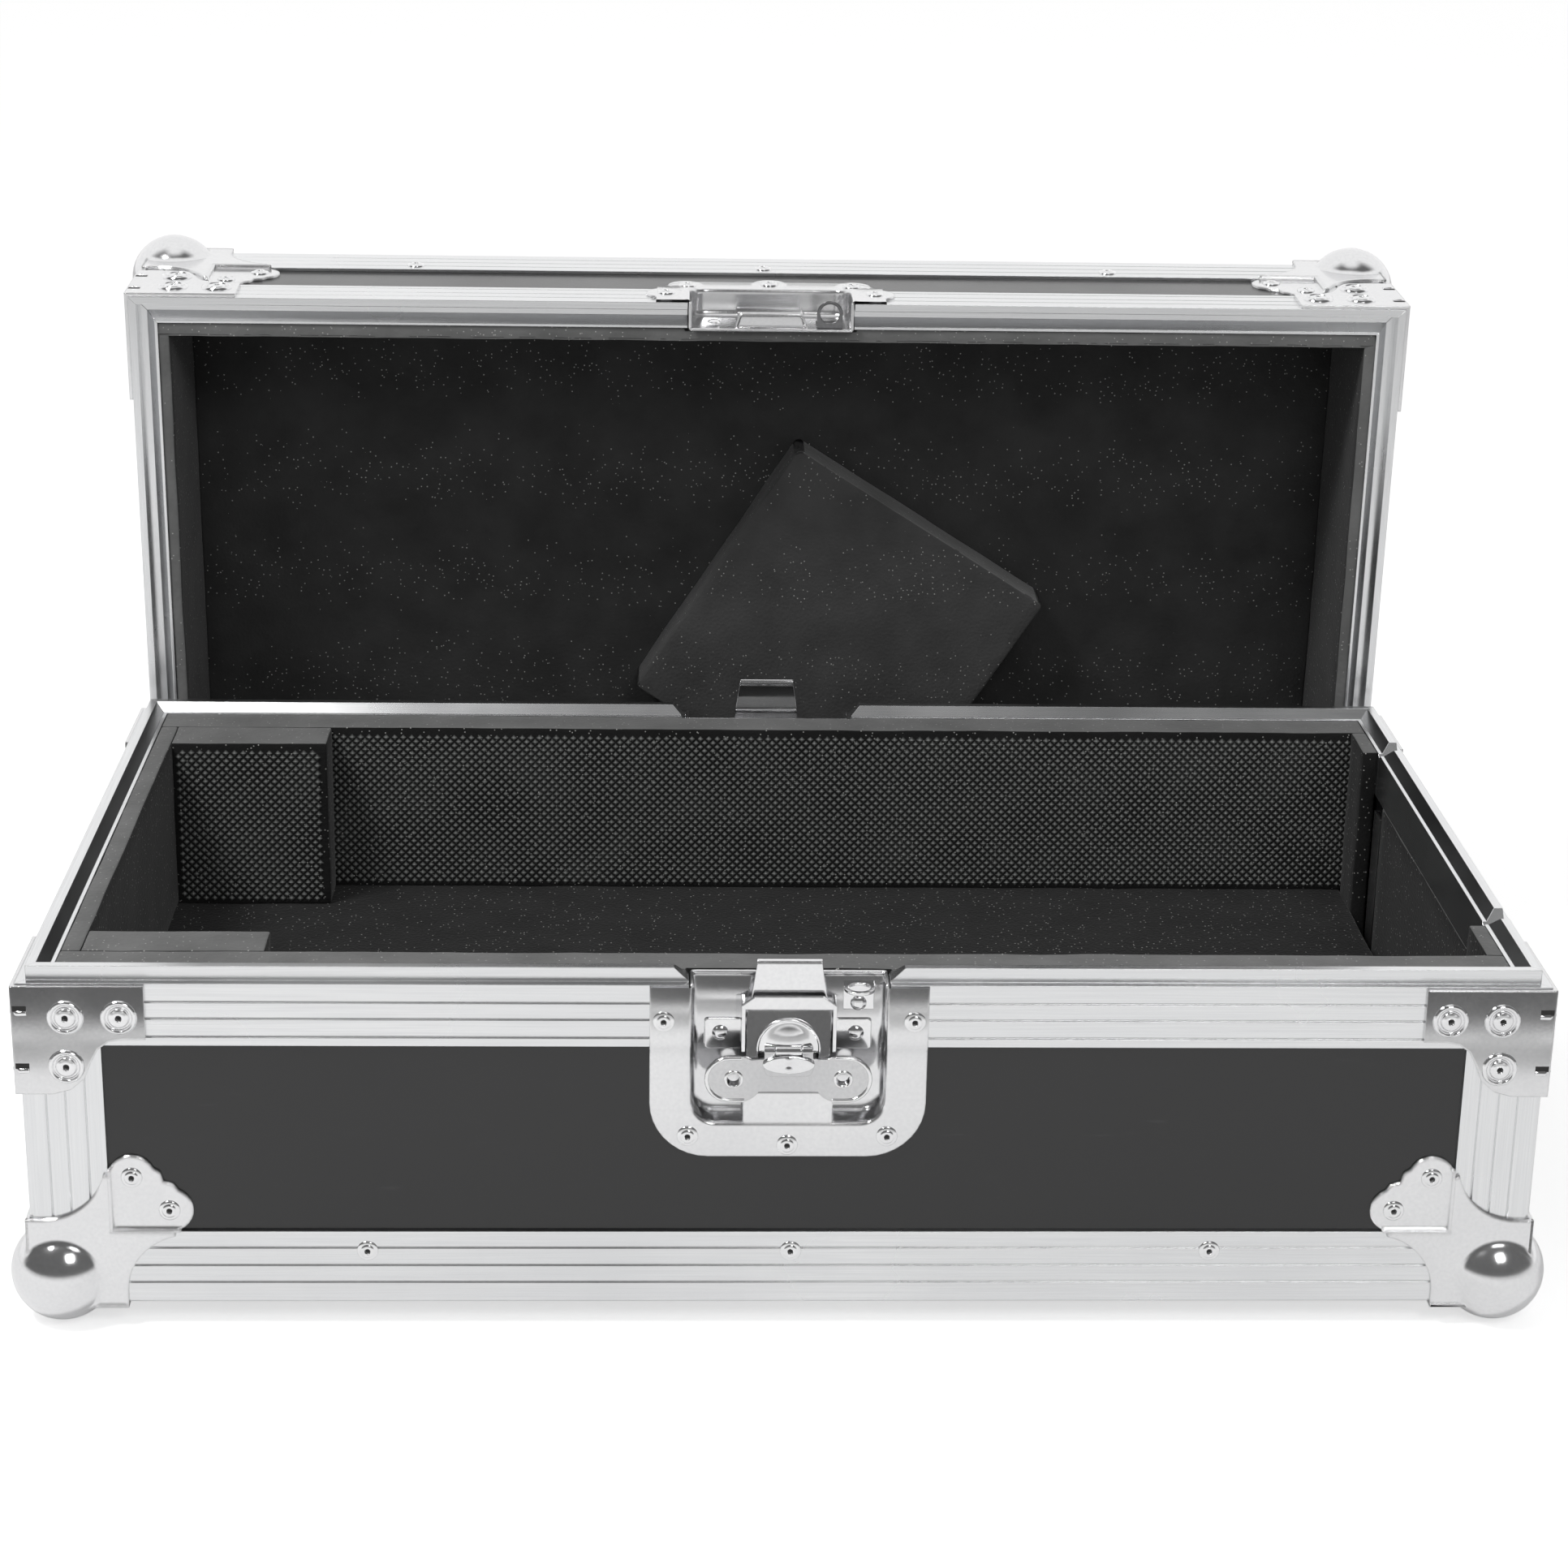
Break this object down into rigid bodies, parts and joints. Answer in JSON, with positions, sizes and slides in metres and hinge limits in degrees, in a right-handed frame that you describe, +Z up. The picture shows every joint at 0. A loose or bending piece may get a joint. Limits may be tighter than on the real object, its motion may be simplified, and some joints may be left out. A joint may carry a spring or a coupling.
{
  "type": "mixer flight case",
  "caption": "Low plywood flight case edged in aluminium, with a lift-off lid, ball corners, butterfly latches, a lift-out end panel and black foam lining.",
  "frame": {"origin": "middle of the whole object's box at the height of the surface it stands on", "axes": "+X along the long side to the end with the lift-out panel, +Y from the front latch towards the lid standing behind, +Z up"},
  "size_m": [0.5844, 0.4508, 0.3399],
  "materials": {
    "edge_aluminium": "satin anodised, fine grooves",
    "black_ply": "black satin laminate, fine stipple",
    "latch_steel": "bright zinc plate, satin",
    "corner_steel": "bright zinc plate, satin",
    "black_foam": "black cut polyethylene foam",
    "pad_foam": "black dense foam",
    "felt": "thin black felt"
  },
  "bodies": {
    "base": {"access_panel_guides": "edge_aluminium", "base_ball_corners": "corner_steel", "base_floor_foam": "black_foam", "base_floor_panel": "black_ply", "base_front_foam": "black_foam", "base_front_panel": "black_ply", "base_front_rim": "edge_aluminium", "base_left_foam": "black_foam", "base_left_front_block": "black_foam", "base_left_panel": "black_ply", "base_left_rear_block": "black_foam", "base_left_rim": "edge_aluminium", "base_long_bottom_edges": "edge_aluminium", "base_rear_foam": "black_foam", "base_rear_panel": "black_ply", "base_rear_rim": "edge_aluminium", "base_right_front_foam": "black_foam", "base_right_front_panel": "black_ply", "base_right_front_rim": "edge_aluminium", "base_right_rear_foam": "black_foam", "base_right_rear_panel": "black_ply", "base_right_rear_rim": "edge_aluminium", "base_rim_corners": "corner_steel", "base_short_bottom_edges": "edge_aluminium", "base_uprights": "edge_aluminium", "front_latch_bridge": "latch_steel", "front_latch_dish": "latch_steel", "front_latch_ring": "latch_steel", "rear_latch_bridge": "latch_steel", "rear_latch_dish": "latch_steel", "rear_latch_ring": "latch_steel"},
    "lid": {"lid_ball_corners": "corner_steel", "lid_front_keeper": "latch_steel", "lid_front_panel": "black_ply", "lid_front_rim": "edge_aluminium", "lid_keeper_eyes": "latch_steel", "lid_left_panel": "black_ply", "lid_pad": "pad_foam", "lid_rear_keeper": "latch_steel", "lid_rear_panel": "black_ply", "lid_rear_rim": "edge_aluminium", "lid_right_panel": "black_ply", "lid_rim_corners": "corner_steel", "lid_side_rims": "edge_aluminium", "lid_top_edges": "edge_aluminium", "lid_top_foam": "black_foam", "lid_top_panel": "black_ply", "lid_uprights": "edge_aluminium", "lid_wall_foam": "black_foam"},
    "access": {"access_panel": "black_ply", "access_panel_rim": "edge_aluminium", "access_panel_felt": "felt"},
    "front_hook": {"front_latch_hook": "latch_steel"},
    "front_cam": {"front_latch_cam": "latch_steel", "front_latch_pin": "latch_steel"},
    "front_wing": {"front_latch_wing": "latch_steel"},
    "rear_hook": {"rear_latch_hook": "latch_steel"},
    "rear_cam": {"rear_latch_cam": "latch_steel", "rear_latch_pin": "latch_steel"},
    "rear_wing": {"rear_latch_wing": "latch_steel"}
  },
  "joints": [
    {"name": "lid_lift", "type": "slide", "parent": "base", "child": "lid", "axis": [0, 0, 1], "range_m": [0, 0.18]},
    {"name": "access_panel_lift", "type": "slide", "parent": "base", "child": "access", "axis": [0, 0, 1], "range_m": [0, 0.15]},
    {"name": "front_latch_twist", "type": "hinge", "parent": "base", "child": "front_cam", "pos_m": [0, -0.21574, 0.1135], "axis": [0, -1, 0], "range_deg": [0, 180]},
    {"name": "front_hook_draw", "type": "slide", "parent": "base", "child": "front_hook", "axis": [0, 0, 1], "range_m": [0, 0.0096]},
    {"name": "front_wing_fold", "type": "hinge", "parent": "front_cam", "child": "front_wing", "pos_m": [0, -0.21515, 0.1135], "axis": [-1, 0, 0], "range_deg": [0, 90]},
    {"name": "rear_latch_twist", "type": "hinge", "parent": "base", "child": "rear_cam", "pos_m": [0, 0.10526, 0.1135], "axis": [0, 1, 0], "range_deg": [-180, 0]},
    {"name": "rear_hook_draw", "type": "slide", "parent": "base", "child": "rear_hook", "axis": [0, 0, 1], "range_m": [-0.0096, 0]},
    {"name": "rear_wing_fold", "type": "hinge", "parent": "rear_cam", "child": "rear_wing", "pos_m": [0, 0.10465, 0.1135], "axis": [-1, 0, 0], "range_deg": [0, 90]}
  ],
  "couplings": [
    {"joint": "front_hook_draw", "follows": "front_latch_twist", "m_per_rad": 0.003055},
    {"joint": "rear_hook_draw", "follows": "rear_latch_twist", "m_per_rad": 0.003055}
  ]
}
